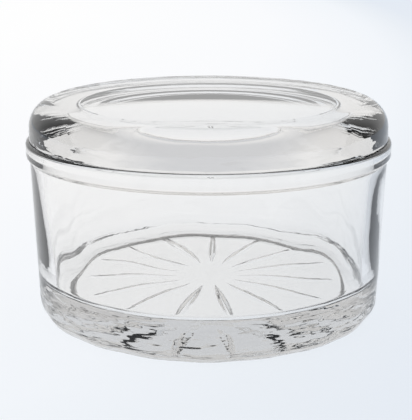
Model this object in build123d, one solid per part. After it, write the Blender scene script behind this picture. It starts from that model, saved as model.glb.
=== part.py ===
from build123d import *
import os

# Covered dappen dish: a small round bowl of clear pressed glass, with a star cut into the underside of
# its thick base, and a loose hollow lid of the same glass that rests on the bowl's beaded rim.
# Millimetres, +Z up. The origin is the centre of the foot, in the plane of the table.

# ---- bowl, outside ----
FOOT_R = 33.2            # side wall carried down to the table
FOOT_ROUND = 4.0         # heel between wall and foot
WALL_R = 34.3            # side wall just under the bead
BEAD_R = 35.0            # beaded rim, the widest part
BEAD_LOW_Z = 31.2        # underside of the bead
RIM_Z = 34.7             # top of the rim, which the lid rests on

# ---- bowl, inside ----
FLOOR_Z = 7.9            # inside floor
WELL_R = 30.1            # inside wall where it meets the floor
WELL_MID_R = 31.1        # inside wall part-way up
WELL_MID_Z = 20.0
MOUTH_R = 31.9           # inside of the mouth
MOUTH_Z = 31.0           # height where the mouth becomes upright
COVE_ROUND = 1.6         # cove between floor and wall
DRAFT_ROUND = 40.0       # slow curve of the inside wall

# ---- foot and star ----
UNDER_Z = 0.9            # recessed underside
UNDER_R = 26.6           # edge of the recess
UNDER_SLOPE = 0.6        # how much wider the recess is at the table
RAYS = 15
RAY_INNER_R = 6.2        # pointed inner end of each ray
RAY_OUTER_R = 25.2       # pointed outer end
RAY_DEPTH = 0.6          # at the middle of the ray
RAY_WIDTH = 1.8          # at the middle of the ray
RAY_START = 88.0         # direction of the first ray, degrees from +X

# ---- lid ----
LID_R = 34.35            # lower edge of the lid
LID_SHOULDER_R = 34.15   # side of the lid where the shoulder starts
LID_TOP_Z = 42.0
SHOULDER_ROUND = 4.8
DISH_DEPTH = 0.3         # shallow dish in the top
DISH_R = 29.0
PLATE = 5.0              # glass between the top and the edge of the lid's hollow
HOLLOW_R = 30.0          # hollow under the lid, at its open end
HOLLOW_TOP_R = 25.0      # the same at its closed end
HOLLOW_ROUND = 2.0
DOME_R = 28.0            # dome in the roof of the hollow, if it ran out to nothing
DOME_RISE = 3.0
DOME_EDGE_R = 24.4       # where it stops, in a small step
LIP_R = 31.3             # ring under the lid that drops into the mouth
LIP_DROP = 0.8           # how far it drops below the rim

EDGE_ROUND = 0.35        # softened pressed edges
SOFT_ROUND = 0.7


def turned(corners):
    """Turn an outline about the Z axis. Each corner is (radius, height, rounding)."""
    points = [Vector(r, z) for r, z, _ in corners]
    face = make_face(Polyline(*points, close=True))
    for (_, _, rounding), point in zip(corners, points):
        if rounding:
            corner = face.vertices().sort_by_distance(point)[0]
            face = fillet(corner, rounding)
    return revolve(Plane.XZ * face, Axis.Z)


def ray_cutters():
    """The star's rays: a V-edged wheel, sunk to the ray's depth, makes a groove pointed at both ends."""
    middle_r = (RAY_INNER_R + RAY_OUTER_R) / 2
    half_length = (RAY_OUTER_R - RAY_INNER_R) / 2
    wheel_r = (half_length**2 + RAY_DEPTH**2) / (2 * RAY_DEPTH)
    side_slope = RAY_DEPTH / (RAY_WIDTH / 2)
    wheel_half = RAY_WIDTH
    side = Cone(wheel_r, wheel_r - wheel_half * side_slope, wheel_half,
                align=(Align.CENTER, Align.CENTER, Align.MIN))
    wheel = side + mirror(side, Plane.XY)
    wheel = Pos(middle_r, 0, UNDER_Z + RAY_DEPTH - wheel_r) * Rot(90, 0, 0) * wheel
    overlap = 0.05
    above_recess = Pos(0, 0, UNDER_Z - overlap) * Cylinder(
        UNDER_R, FLOOR_Z - UNDER_Z, align=(Align.CENTER, Align.CENTER, Align.MIN))
    ray = wheel & above_recess
    return [Rot(0, 0, RAY_START + step * 360 / RAYS) * ray for step in range(RAYS)]


def make_bowl():
    body = turned([
        (0, UNDER_Z, 0),
        (UNDER_R, UNDER_Z, SOFT_ROUND / 2),
        (UNDER_R + UNDER_SLOPE, 0, EDGE_ROUND),
        (FOOT_R, 0, FOOT_ROUND),
        (WALL_R, BEAD_LOW_Z, SOFT_ROUND / 2),
        (BEAD_R, BEAD_LOW_Z + BEAD_R - WALL_R, SOFT_ROUND),
        (BEAD_R, RIM_Z, SOFT_ROUND),
        (MOUTH_R, RIM_Z, EDGE_ROUND),
        (MOUTH_R, MOUTH_Z, SOFT_ROUND),
        (WELL_MID_R, WELL_MID_Z, DRAFT_ROUND),
        (WELL_R, FLOOR_Z, COVE_ROUND),
        (0, FLOOR_Z, 0),
    ])
    return body - ray_cutters()


def cap(radius, rise, base_z):
    """Ball whose top stands out of the plane base_z as a cap of this radius and rise."""
    ball_r = (radius**2 + rise**2) / (2 * rise)
    return Pos(0, 0, base_z + rise - ball_r) * Sphere(ball_r)


def make_lid():
    body = turned([
        (0, LID_TOP_Z, 0),
        (LID_SHOULDER_R, LID_TOP_Z, SHOULDER_ROUND),
        (LID_R, RIM_Z, EDGE_ROUND),
        (LIP_R, RIM_Z, 0),
        (LIP_R - EDGE_ROUND, RIM_Z - LIP_DROP, EDGE_ROUND),
        (HOLLOW_R, RIM_Z - LIP_DROP, EDGE_ROUND),
        (HOLLOW_TOP_R, LID_TOP_Z - PLATE, HOLLOW_ROUND),
        (0, LID_TOP_Z - PLATE, 0),
    ])
    dish = mirror(cap(DISH_R, DISH_DEPTH, -LID_TOP_Z), Plane.XY)
    dome = cap(DOME_R, DOME_RISE, LID_TOP_Z - PLATE) & Pos(0, 0, RIM_Z) * Cylinder(
        DOME_EDGE_R, PLATE + DOME_RISE, align=(Align.CENTER, Align.CENTER, Align.MIN))
    return body - dish - dome


os.makedirs("parts", exist_ok=True)
export_step(make_bowl(), "parts/bowl.step")
export_step(make_lid(), "parts/lid.step")
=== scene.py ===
import math
import bpy
import bmesh
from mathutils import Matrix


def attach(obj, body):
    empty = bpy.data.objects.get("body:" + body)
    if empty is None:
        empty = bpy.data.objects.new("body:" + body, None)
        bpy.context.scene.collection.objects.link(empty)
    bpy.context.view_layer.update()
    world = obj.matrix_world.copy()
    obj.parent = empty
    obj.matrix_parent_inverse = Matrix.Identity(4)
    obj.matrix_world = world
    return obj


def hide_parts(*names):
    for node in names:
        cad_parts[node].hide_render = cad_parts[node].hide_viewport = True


MM = 0.001
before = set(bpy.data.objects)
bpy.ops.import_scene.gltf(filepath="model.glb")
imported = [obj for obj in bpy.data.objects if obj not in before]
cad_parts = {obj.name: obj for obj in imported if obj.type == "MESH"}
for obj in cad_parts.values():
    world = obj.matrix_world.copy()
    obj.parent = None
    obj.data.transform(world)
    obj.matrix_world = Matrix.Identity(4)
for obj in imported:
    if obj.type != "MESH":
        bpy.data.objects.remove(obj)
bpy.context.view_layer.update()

# ---------------------------------------------------------------- dimensions, in millimetres
FOOT_R, FOOT_ROUND = 33.2, 4.0
WALL_R = 34.3
BEAD_R, BEAD_LOW_Z, RIM_Z = 35.0, 31.2, 34.7
FLOOR_Z, WELL_R, COVE_ROUND = 7.9, 30.1, 1.6
WELL_MID_R, WELL_MID_Z, DRAFT_ROUND = 31.1, 20.0, 40.0
MOUTH_R, MOUTH_Z = 31.9, 31.0
UNDER_Z, UNDER_R, UNDER_SLOPE = 0.9, 26.6, 0.6
RAYS, RAY_START = 15, 88.0
RAY_INNER_R, RAY_OUTER_R, RAY_DEPTH, RAY_WIDTH = 6.2, 25.2, 0.6, 1.8
LID_R, LID_SHOULDER_R, LID_TOP_Z, SHOULDER_ROUND = 34.35, 34.15, 42.0, 4.8
DISH_DEPTH, DISH_R, PLATE = 0.3, 29.0, 5.0
HOLLOW_R, HOLLOW_TOP_R, HOLLOW_ROUND, DOME_R, DOME_RISE = 30.0, 25.0, 2.0, 28.0, 3.0
LIP_R, LIP_DROP = 31.3, 0.8
EDGE_ROUND, SOFT_ROUND = 0.35, 0.7
SEAT_GAP = 0.04                  # air between the rim and the lid, so that the seam shows

# how far the pressed glass wanders, and where that starts and stops
COVE_WAVE_SIZE, WALL_WAVE, HEEL_WAVE = 0.5, 0.07, 0.14
CALM_FLOOR_R = 20.0
HEEL_WAVE_TOP_Z = 9.0

# fineness of the meshes
BOWL_SEGMENTS, LID_SEGMENTS = 480, 360
STAR_RINGS = 80
STAR_ZONE_R = UNDER_R * 0.98     # the star's fine rings reach out to here
ON_PLANE = 0.01                  # an outline's point this near a plane counts as on it


# ---------------------------------------------------------------- turned glass
def rounded(corners, step=1.0, arc_step=math.radians(5)):
    """Outline through (radius, height, rounding) corners, with arcs at the corners and short spans."""
    points = []
    last = len(corners) - 1
    for i, (r, z, rounding) in enumerate(corners):
        if rounding == 0 or i in (0, last):
            points.append((r, z))
            continue
        (back_r, back_z, _), (next_r, next_z, _) = corners[i - 1], corners[i + 1]
        back_length = math.hypot(back_r - r, back_z - z)
        next_length = math.hypot(next_r - r, next_z - z)
        to_back = ((back_r - r) / back_length, (back_z - z) / back_length)
        to_next = ((next_r - r) / next_length, (next_z - z) / next_length)
        cosine = to_back[0] * to_next[0] + to_back[1] * to_next[1]
        half = math.acos(max(-1, min(1, cosine))) / 2
        middle = (to_back[0] + to_next[0], to_back[1] + to_next[1])
        middle_length = math.hypot(*middle)
        centre_r = r + middle[0] / middle_length * rounding / math.sin(half)
        centre_z = z + middle[1] / middle_length * rounding / math.sin(half)
        tangent = rounding / math.tan(half)
        start = math.atan2(z + to_back[1] * tangent - centre_z, r + to_back[0] * tangent - centre_r)
        end = math.atan2(z + to_next[1] * tangent - centre_z, r + to_next[0] * tangent - centre_r)
        turn = (end - start + math.pi) % math.tau - math.pi
        spans = max(3, round(abs(turn) / arc_step))
        angles = [start + turn * k / spans for k in range(spans + 1)]
        points += [(centre_r + rounding * math.cos(a), centre_z + rounding * math.sin(a)) for a in angles]
    fine = [points[0]]
    for r, z in points[1:]:
        r0, z0 = fine[-1]
        spans = max(1, round(math.hypot(r - r0, z - z0) / step))
        fine += [(r0 + (r - r0) * k / spans, z0 + (z - z0) * k / spans) for k in range(1, spans + 1)]
    return fine


def turned(name, outline, segments, shape):
    """Closed turned mesh. shape(r, z, angle) may move a point of the outline at that angle."""
    bm = bmesh.new()
    rings = []
    for r, z in outline:
        if r < 1e-6:
            pole = bm.verts.new((0, 0, z * MM))
            rings.append([pole] * segments)
            continue
        ring = []
        for k in range(segments):
            angle = math.tau * k / segments
            at_r, at_z = shape(r, z, angle)
            ring.append(bm.verts.new((at_r * math.cos(angle) * MM, at_r * math.sin(angle) * MM, at_z * MM)))
        rings.append(ring)
    for low, high in zip(rings, rings[1:]):
        for k in range(segments):
            j = (k + 1) % segments
            # at a pole two corners are the same point, and the face is a triangle
            corners = list(dict.fromkeys((low[k], low[j], high[j], high[k])))
            if len(corners) > 2:
                bm.faces.new(corners)
    bmesh.ops.recalc_face_normals(bm, faces=bm.faces)
    mesh = bpy.data.meshes.new(name)
    bm.to_mesh(mesh)
    bm.free()
    mesh.shade_smooth()
    piece = bpy.data.objects.new(name, mesh)
    bpy.context.scene.collection.objects.link(piece)
    return piece


# ---------------------------------------------------------------- bowl
def ray_depth(r, angle):
    """How deep the star is cut into the underside at this radius and angle."""
    pitch = math.tau / RAYS
    off = (angle - math.radians(RAY_START)) / pitch
    off = (off - round(off)) * pitch
    along, across = r * math.cos(off), abs(r * math.sin(off))
    middle, half = (RAY_INNER_R + RAY_OUTER_R) / 2, (RAY_OUTER_R - RAY_INNER_R) / 2
    wheel = (half**2 + RAY_DEPTH**2) / (2 * RAY_DEPTH)
    rise = wheel**2 - (along - middle)**2
    if rise <= 0:
        return 0.0
    return max(0.0, math.sqrt(rise) - (wheel - RAY_DEPTH) - across * RAY_DEPTH / (RAY_WIDTH / 2))


# direction in degrees, and how far the cove round the floor stands out there, as a share of its wave size
COVE_WAVE = [(-162, 0.4), (-120, -0.2), (-90, 0.1), (-55, -0.2), (-21, 0.5), (-4, 0.1), (12, 0.4), (33, -0.7),
             (49, 0.5), (61, -0.5), (75, 0.7), (92, 0.3), (105, -0.4), (121, 0.6), (134, -0.2), (150, -0.5),
             (175, 0.3), (198, 0.4)]


def cove_wave(angle):
    """Smooth in-and-out wander of the cove round the floor."""
    first = COVE_WAVE[0][0]
    direction = (math.degrees(angle) - first) % 360 + first
    for (d0, w0), (d1, w1) in zip(COVE_WAVE, COVE_WAVE[1:]):
        if d0 <= direction <= d1:
            t = (direction - d0) / (d1 - d0)
            return w0 + (w1 - w0) * t * t * (3 - 2 * t)
    return 0.0


def bowl_shape(r, z, angle):
    """Cut the star into the underside, and let the cove, the inside wall and the heel wander."""
    if abs(z - UNDER_Z) < ON_PLANE and r < UNDER_R:
        return r, z + ray_depth(r, angle)
    if FLOOR_Z - ON_PLANE < z < MOUTH_Z and r < MOUTH_R + ON_PLANE:
        # the cove's wander dies out up the wall, and the wall's own is strongest half-way up
        low = max(0.0, 1 - (z - FLOOR_Z) / (WELL_MID_Z - FLOOR_Z))
        near_wall = (r - CALM_FLOOR_R) / (WELL_R - COVE_ROUND - CALM_FLOOR_R)
        near_wall = max(0.0, min(1.0, near_wall))
        wall = math.sin(9 * angle + 0.06 * z) + 0.6 * math.sin(17 * angle + 1.0 + 0.1 * z)
        swell = math.sin(math.pi * (z - FLOOR_Z) / (MOUTH_Z - FLOOR_Z))
        wander = COVE_WAVE_SIZE * cove_wave(angle) * low**3 + WALL_WAVE * wall * swell
        return r + near_wall * wander, z
    if r > FOOT_R - FOOT_ROUND and z < BEAD_LOW_Z:
        heel = math.sin(7 * angle + 0.5) + math.sin(19 * angle + 0.3 * z)
        return r + HEEL_WAVE * heel * max(0.0, 1 - z / HEEL_WAVE_TOP_Z), z
    return r, z


def make_bowl():
    outline = rounded([
        (0, UNDER_Z, 0),
        (UNDER_R, UNDER_Z, SOFT_ROUND / 2),
        (UNDER_R + UNDER_SLOPE, 0, EDGE_ROUND),
        (FOOT_R, 0, FOOT_ROUND),
        (WALL_R, BEAD_LOW_Z, SOFT_ROUND / 2),
        (BEAD_R, BEAD_LOW_Z + BEAD_R - WALL_R, SOFT_ROUND),
        (BEAD_R, RIM_Z, SOFT_ROUND),
        (MOUTH_R, RIM_Z, EDGE_ROUND),
        (MOUTH_R, MOUTH_Z, SOFT_ROUND),
        (WELL_MID_R, WELL_MID_Z, DRAFT_ROUND),
        (WELL_R, FLOOR_Z, COVE_ROUND),
        (0, FLOOR_Z, 0),
    ])
    star_zone = [(STAR_ZONE_R * k / STAR_RINGS, UNDER_Z) for k in range(STAR_RINGS + 1)]
    rest = [(r, z) for r, z in outline if r > STAR_ZONE_R or z > UNDER_Z + ON_PLANE]
    return turned("bowl_glass", star_zone + rest, BOWL_SEGMENTS, bowl_shape)


# ---------------------------------------------------------------- lid
def lid_shape(r, z, angle):
    """Sink the shallow dish into the top, and raise the dome in the roof of the hollow."""
    if z > LID_TOP_Z - ON_PLANE and r < DISH_R:
        return r, z - DISH_DEPTH * (1 - (r / DISH_R)**2)
    if abs(z - LID_TOP_Z + PLATE) < ON_PLANE and r < DOME_R:
        return r, z + DOME_RISE * (1 - (r / DOME_R)**2)
    return r, z


def make_lid():
    outline = rounded([
        (0, LID_TOP_Z, 0),
        (LID_SHOULDER_R, LID_TOP_Z, SHOULDER_ROUND),
        (LID_R, RIM_Z + SEAT_GAP, EDGE_ROUND),
        (LIP_R, RIM_Z + SEAT_GAP, 0),
        (LIP_R - EDGE_ROUND, RIM_Z - LIP_DROP, EDGE_ROUND),
        (HOLLOW_R, RIM_Z - LIP_DROP, EDGE_ROUND),
        (HOLLOW_TOP_R, LID_TOP_Z - PLATE, HOLLOW_ROUND),
        (0, LID_TOP_Z - PLATE, 0),
    ])
    outline[0] = (0, LID_TOP_Z - DISH_DEPTH)
    outline[-1] = (0, LID_TOP_Z - PLATE + DOME_RISE)
    return turned("lid_glass", outline, LID_SEGMENTS, lid_shape)


# ---------------------------------------------------------------- shader nodes
def add_math(tree, operation, first, second=0.0):
    """Math node. Each input is a number or another node's output."""
    node = tree.nodes.new("ShaderNodeMath")
    node.operation = operation
    for socket, value in zip(node.inputs, (first, second)):
        if isinstance(value, float):
            socket.default_value = value
        else:
            tree.links.new(value, socket)
    return node.outputs[0]


def add_range(tree, value, low, high, at_low, at_high):
    """Map Range node: at_low where the value is low, and at_high where it is high."""
    node = tree.nodes.new("ShaderNodeMapRange")
    tree.links.new(value, node.inputs[0])
    for socket, number in zip(list(node.inputs)[1:5], (low, high, at_low, at_high)):
        socket.default_value = number
    return node.outputs[0]


def add_ramp(tree, value, stops):
    """Colour ramp through (place, colour) stops."""
    node = tree.nodes.new("ShaderNodeValToRGB")
    tree.links.new(value, node.inputs[0])
    elements = node.color_ramp.elements
    while len(elements) < len(stops):
        elements.new(0.5)
    for element, (place, colour) in zip(elements, stops):
        element.position = place
        element.color = (*colour, 1)
    return node.outputs[0]


def split_xyz(tree, coordinates):
    """X, Y and Z of the named texture coordinates."""
    split = tree.nodes.new("ShaderNodeSeparateXYZ")
    tree.links.new(tree.nodes.new("ShaderNodeTexCoord").outputs[coordinates], split.inputs[0])
    return split.outputs


# ---------------------------------------------------------------- glass
GLASS_COLOUR = (1.0, 0.99, 0.975, 1)
FLOW_ROUND = 4.0                 # how often the flow lines change on the way round
FLOW_PER_M = 500.0               # how often they change outwards and upwards
FLOW_HEIGHT = 0.0001             # metres
CALM_INSIDE, ROUGH_OUTSIDE = 0.0265, 0.030     # radii in metres, from calm middle to rough edge
CALM_SHARE = 0.04


def glass(name, calm, rough, low, high, density):
    """Clear glass with the flow lines of pressing. They are rough at height low and calm at height high,
    and nearly die out inside the calm radius. Density is how fast the glass darkens, per metre."""
    material = bpy.data.materials.new(name)
    material.use_nodes = True
    tree = material.node_tree
    shader = tree.nodes["Principled BSDF"]
    shader.inputs["Transmission Weight"].default_value = 1.0
    shader.inputs["IOR"].default_value = 1.5
    shader.inputs["Roughness"].default_value = 0.0
    shader.inputs["Base Color"].default_value = GLASS_COLOUR

    x, y, z = split_xyz(tree, "Object")
    squares = add_math(tree, "ADD", add_math(tree, "MULTIPLY", x, x), add_math(tree, "MULTIPLY", y, y))
    r = add_math(tree, "MAXIMUM", add_math(tree, "SQRT", squares), 0.001)
    outwards = add_math(tree, "MULTIPLY", r, FLOW_PER_M)
    upwards = add_math(tree, "MULTIPLY", z, FLOW_PER_M)
    swirl = tree.nodes.new("ShaderNodeCombineXYZ")
    for socket, side in zip(swirl.inputs, (x, y)):
        tree.links.new(add_math(tree, "MULTIPLY", add_math(tree, "DIVIDE", side, r), FLOW_ROUND), socket)
    tree.links.new(add_math(tree, "ADD", outwards, upwards), swirl.inputs[2])
    noise = tree.nodes.new("ShaderNodeTexNoise")
    noise.inputs["Scale"].default_value = 1.0
    noise.inputs["Detail"].default_value = 2.0
    tree.links.new(swirl.outputs[0], noise.inputs["Vector"])

    by_height = add_range(tree, z, low, high, rough, calm)
    by_radius = add_range(tree, r, CALM_INSIDE, ROUGH_OUTSIDE, CALM_SHARE, 1.0)
    lines = add_math(tree, "MULTIPLY", add_math(tree, "MULTIPLY", noise.outputs[0], by_height), by_radius)
    bump = tree.nodes.new("ShaderNodeBump")
    bump.inputs["Distance"].default_value = FLOW_HEIGHT
    tree.links.new(lines, bump.inputs["Height"])
    tree.links.new(bump.outputs[0], shader.inputs["Normal"])

    tint = tree.nodes.new("ShaderNodeVolumeAbsorption")
    tint.inputs["Color"].default_value = (0.0, 0.0, 0.0, 1)
    tint.inputs["Density"].default_value = density
    tree.links.new(tint.outputs[0], tree.nodes["Material Output"].inputs["Volume"])
    return material


bowl = make_bowl()
lid = make_lid()
bowl.data.materials.append(glass("bowl_glass", calm=0.06, rough=3.0, low=0.005, high=0.010, density=6.0))
lid.data.materials.append(glass("lid_glass", calm=0.3, rough=2.2, low=0.035, high=0.041, density=2.5))
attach(bowl, "bowl")
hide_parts("bowl")
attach(lid, "lid")
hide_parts("lid")

# ---------------------------------------------------------------- floor
FLOOR_HALF = 2.0                 # metres
FLOOR_DROP = 0.0002              # metres under the foot
LIGHT_POOL_PLACE, LIGHT_POOL_SIZE = (-0.2, 0.6, 0), (0.44, 1.1, 1)     # painted pool of light on the floor, in metres
# share of the way from the painted light pool's edge to its middle, and the floor's painted glow there
PAINTED_GLOW_STOPS = [(0.0, (0.72, 0.78, 0.86)), (0.20, (0.74, 0.79, 0.86)), (0.25, (0.79, 0.83, 0.88)),
                (0.30, (0.85, 0.88, 0.92)), (0.45, (0.91, 0.92, 0.94)), (0.8, (0.95, 0.95, 0.95))]


def floor_painted_glow():
    """Pale floor whose light is mostly painted glow, brightest in a painted pool of light behind the dish."""
    material = bpy.data.materials.new("floor_painted_glow")
    material.use_nodes = True
    tree = material.node_tree
    shader = tree.nodes["Principled BSDF"]
    # dark base under a strong glow: nearly all of the floor's brightness is painted light from its emission
    shader.inputs["Base Color"].default_value = (0.08, 0.08, 0.08, 1)
    shader.inputs["Roughness"].default_value = 0.8
    shader.inputs["Specular IOR Level"].default_value = 0.0
    shader.inputs["Emission Strength"].default_value = 1.0
    place = tree.nodes.new("ShaderNodeMapping")
    place.vector_type = "TEXTURE"
    place.inputs["Location"].default_value = LIGHT_POOL_PLACE
    place.inputs["Scale"].default_value = LIGHT_POOL_SIZE
    # painted pool of light: a spherical gradient, brightest in its middle behind the dish and bluish grey at
    # its edge
    light_pool = tree.nodes.new("ShaderNodeTexGradient")
    light_pool.gradient_type = "SPHERICAL"
    tree.links.new(tree.nodes.new("ShaderNodeTexCoord").outputs["Object"], place.inputs[0])
    tree.links.new(place.outputs[0], light_pool.inputs[0])
    tree.links.new(add_ramp(tree, light_pool.outputs[1], PAINTED_GLOW_STOPS), shader.inputs["Emission Color"])
    return material


def make_floor():
    mesh = bpy.data.meshes.new("floor")
    corners = [(-1, -1), (1, -1), (1, 1), (-1, 1)]
    mesh.from_pydata([(x * FLOOR_HALF, y * FLOOR_HALF, 0) for x, y in corners], [], [(0, 1, 2, 3)])
    mesh.materials.append(floor_painted_glow())
    floor = bpy.data.objects.new("floor", mesh)
    floor.location.z = -FLOOR_DROP
    bpy.context.scene.collection.objects.link(floor)
    return floor


make_floor()

# ---------------------------------------------------------------- light tent
# share of the way round (0 front, 0.25 left, 0.5 back, 0.75 right, 1 front) and the tent's brightness there
TENT = [(0.0, 0.4), (0.10, 0.4), (0.18, 0.25), (0.21, 0.04), (0.29, 0.04), (0.32, 0.3), (0.38, 0.8),
        (0.43, 0.85), (0.57, 0.85), (0.62, 0.8), (0.69, 0.3), (0.72, 0.08), (0.78, 0.08), (0.81, 0.3),
        (0.90, 0.4), (1.0, 0.4)]
WALLS_END, ROOF_STARTS = 0.60, 0.85        # sine of the angle above the horizon
ROOF_COLOUR = (0.65, 0.66, 0.68, 1)


def light_tent():
    """Soft light from all round: a bright back, a dim front, a dark strip each side and a plain roof."""
    world = bpy.data.worlds.new("tent")
    bpy.context.scene.world = world
    world.use_nodes = True
    tree = world.node_tree
    tree.nodes.clear()
    x, y, z = split_xyz(tree, "Generated")
    turn = add_math(tree, "DIVIDE", add_math(tree, "ARCTAN2", x, y), math.tau)
    walls = add_ramp(tree, add_math(tree, "ADD", turn, 0.5), [(place, (v, v, v)) for place, v in TENT])
    mix = tree.nodes.new("ShaderNodeMix")
    mix.data_type = "RGBA"
    tree.links.new(add_range(tree, z, WALLS_END, ROOF_STARTS, 0.0, 1.0), mix.inputs[0])
    tree.links.new(walls, mix.inputs[6])
    mix.inputs[7].default_value = ROOF_COLOUR
    background = tree.nodes.new("ShaderNodeBackground")
    tree.links.new(mix.outputs[2], background.inputs[0])
    output = tree.nodes.new("ShaderNodeOutputWorld")
    tree.links.new(background.outputs[0], output.inputs[0])


light_tent()

# ---------------------------------------------------------------- camera
CAM_DISTANCE, CAM_HEIGHT, CAM_PITCH = 0.215, 0.0765, 14.80     # metres, metres, degrees down
CAM_LENS, CAM_SENSOR, CAM_SHIFT = 96.9, 36.0, -0.006
GLASS_BOUNCES = 64


def place_camera():
    data = bpy.data.cameras.new("camera")
    data.lens = CAM_LENS
    data.sensor_width = CAM_SENSOR
    data.shift_x = CAM_SHIFT
    data.clip_start = 0.001
    camera = bpy.data.objects.new("camera", data)
    camera.location = (0, -CAM_DISTANCE, CAM_HEIGHT)
    camera.rotation_euler = (math.radians(90 - CAM_PITCH), 0, 0)
    bpy.context.scene.collection.objects.link(camera)
    bpy.context.scene.camera = camera


place_camera()
scene = bpy.context.scene
scene.view_settings.view_transform = "Standard"
scene.cycles.max_bounces = GLASS_BOUNCES
scene.cycles.transmission_bounces = GLASS_BOUNCES
scene.cycles.transparent_max_bounces = GLASS_BOUNCES
